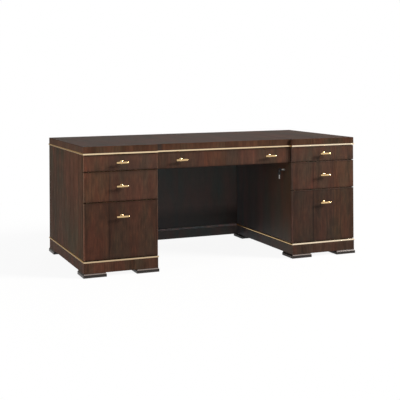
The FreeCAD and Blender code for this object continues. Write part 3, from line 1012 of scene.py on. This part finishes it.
# A run goes along the desk's side where its faces look sideways by more than this
sideways = 0.02
# The runs at the kneehole lie nearer to the desk's middle than this
knee_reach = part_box("right_inner_side")[1].x


def outline_moved(plan, distance):
    """A square-cornered outline, counter-clockwise, with each side moved out by a distance."""
    moved = []
    for before, corner, after in zip(plan[-1:] + plan[:-1], plan, plan[1:] + plan[:1]):
        arriving = (Vector(corner) - Vector(before)).normalized()
        leaving = (Vector(after) - Vector(corner)).normalized()
        shift = Vector((arriving.y + leaving.y, -arriving.x - leaving.x)) * distance
        moved.append((corner[0] + shift.x, corner[1] + shift.y))
    return moved


def bead_strip(name, plan, bottom, metal):
    """A half-round strip round an outline, as one closed mesh.

    Its runs along the desk's sides get a darker brass, a painted reflection of shade, and those at the
    kneehole a rougher one. The runs in front of and behind the right pedestal are the brightest, a painted
    highlight.
    """
    nose = bead_height / 2
    arc = [math.radians(-90 + 180 * step / arc_steps) for step in range(arc_steps + 1)]
    section = [(-bead_let_in, 0.0)]
    section += [(bead_proud - nose + nose * math.cos(a), nose + nose * math.sin(a)) for a in arc]
    section += [(-bead_let_in, bead_height)]
    mesh = bmesh.new()
    rings = []
    for distance, rise in section:
        rings.append([mesh.verts.new((x, y, bottom + rise)) for x, y in outline_moved(plan, distance)])
    for lower, upper in zip(rings, rings[1:] + rings[:1]):
        for here in range(len(plan)):
            following = (here + 1) % len(plan)
            mesh.faces.new((lower[here], lower[following], upper[following], upper[here]))
    strip = finished_piece(name, mesh, metal, "desk_case")
    metals = strip.data.materials
    for other_metal in (side_shade_brass, knee_brass, highlit_brass):
        metals.append(other_metal)
    for face in strip.data.polygons:
        if abs(face.normal.x) > sideways:
            run_metal = knee_brass if abs(face.center.x) < knee_reach else side_shade_brass
        else:
            run_metal = highlit_brass if face.center.x > knee_reach else metal
        face.material_index = metals.find(run_metal.name)
    return strip


print("bead section:", round(bead_height / mm), "mm high,", round(bead_proud / mm), "mm proud")

# %% [markdown]
# Where the beads run. The upper bead follows the step back of the front, and the lower ones go straight round
# their pedestals. Their outlines could be typed in, but the CAD model already has plain beads in the same
# places, so the outlines come from those nodes' boxes, and the finer strips then replace the nodes.


# %% Lay the beads
def inside(node):
    """A bead's outline: its node's box without the part that stands proud, and its lower level."""
    low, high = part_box(node)
    return low.x + bead_proud, high.x - bead_proud, low.y + bead_proud, high.y - bead_proud, low.z


left, right, front, back, bottom = inside("top_bead")
knee_left = inside("left_base_bead")[1]
knee_right = inside("right_base_bead")[0]
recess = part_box("centre_front")[0].y
top_plan = [
    (left, front), (knee_left, front), (knee_left, recess), (knee_right, recess),
    (knee_right, front), (right, front), (right, back), (left, back),
]
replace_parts(bead_strip("top_brass_bead", top_plan, bottom, pale_brass), "top_bead")
for side in ("left", "right"):
    low_x, high_x, low_y, high_y, bottom = inside(side + "_base_bead")
    plan = [(low_x, low_y), (high_x, low_y), (high_x, high_y), (low_x, high_y)]
    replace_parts(bead_strip(side + "_base_brass_bead", plan, bottom, dull_brass), side + "_base_bead")
print("beads swept round the top and both pedestals")

# %% [markdown]
# The pulls. Each is a turned post, wide at its foot like a trumpet, that carries a slightly barrel-shaped bar
# with tapered ends. Such pieces come off a lathe, so the mesh is turned too: a profile is swept round its
# axis. A cylinder would do from far away, but the taper and the trumpet's curve are what catch the light.

# %% Turned brass pulls
bar_half = 37.5 * mm
bar_radius = 6.5 * mm
turn_steps = 40
# From a tip of the bar towards its middle: the distance from the tip and the radius, in millimetres
bar_end = [
    (0, 0), (0, 3), (0.3, 4.2), (0.9, 5), (1.7, 5.42), (3.9, 5.98), (5.1, 6.15), (19.5, 6.35),
]
# From the drawer front outwards: the distance and the radius, in millimetres
post = [
    (0, 0), (0, 10.6), (0.5, 11), (3.2, 11), (4, 10.7), (4.6, 10), (5, 9.1), (5.35, 8.2), (5.8, 7.2),
    (6.7, 6.3), (8.2, 5.5), (11, 4.9), (15, 4.6), (20, 4.5), (26, 4.5), (27, 0),
]
left_end = [(from_tip * mm - bar_half, radius * mm) for from_tip, radius in bar_end]
right_end = [(-along, radius) for along, radius in reversed(left_end)]
bar_profile = left_end + [(0.0, bar_radius)] + right_end
post_profile = [(along * mm, radius * mm) for along, radius in post]


def turned_shell(mesh, profile, centre, axis, side):
    """Sweeps a profile of (distance along the axis, radius) pairs round the axis, closed at both ends."""
    other = axis.cross(side)
    angles = [2 * math.pi * step / turn_steps for step in range(turn_steps)]
    directions = [side * math.cos(angle) + other * math.sin(angle) for angle in angles]
    rings = []
    for distance, radius in profile:
        middle = centre + axis * distance
        if radius == 0:
            rings.append([mesh.verts.new(middle)])
        else:
            rings.append([mesh.verts.new(middle + direction * radius) for direction in directions])
    for lower, upper in zip(rings, rings[1:]):
        for step in range(turn_steps):
            following = (step + 1) % turn_steps
            corners = [
                lower[step % len(lower)], lower[following % len(lower)],
                upper[following % len(upper)], upper[step % len(upper)],
            ]
            mesh.faces.new(list(dict.fromkeys(corners)))


print("bar", round(2 * bar_half / mm), "mm long, turned in", turn_steps, "steps")

# %% [markdown]
# The pulls on their drawers. A pedestal drawer has one pull and the centre drawer two, and each moves with
# its drawer. Copies of one pull could be placed by hand, but the CAD nodes show where they sit: a bar ends
# where its node's box ends, and the post stands on the drawer front, at the back of the box.

# %% Mount the pulls
for drawer in drawers:
    low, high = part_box(drawer + "_pull")
    height = (low.z + high.z) / 2
    # The centre drawer has two pulls in one node, at the ends of its box
    centres = sorted({round(low.x + bar_half, 5), round(high.x - bar_half, 5)})
    mesh = bmesh.new()
    for centre_x in centres:
        bar_centre = Vector((centre_x, low.y + bar_radius, height))
        face_centre = Vector((centre_x, high.y, height))
        turned_shell(mesh, bar_profile, bar_centre, Vector((1, 0, 0)), Vector((0, 0, 1)))
        turned_shell(mesh, post_profile, face_centre, Vector((0, -1, 0)), Vector((0, 0, 1)))
    piece = finished_piece(drawer + "_turned_pull", mesh, brass, drawer + "_drawer")
    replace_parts(piece, drawer + "_pull")
print("pulls turned for", len(drawers), "drawers")

# %% [markdown] The size. The finer pieces must not make the desk larger than its CAD model.
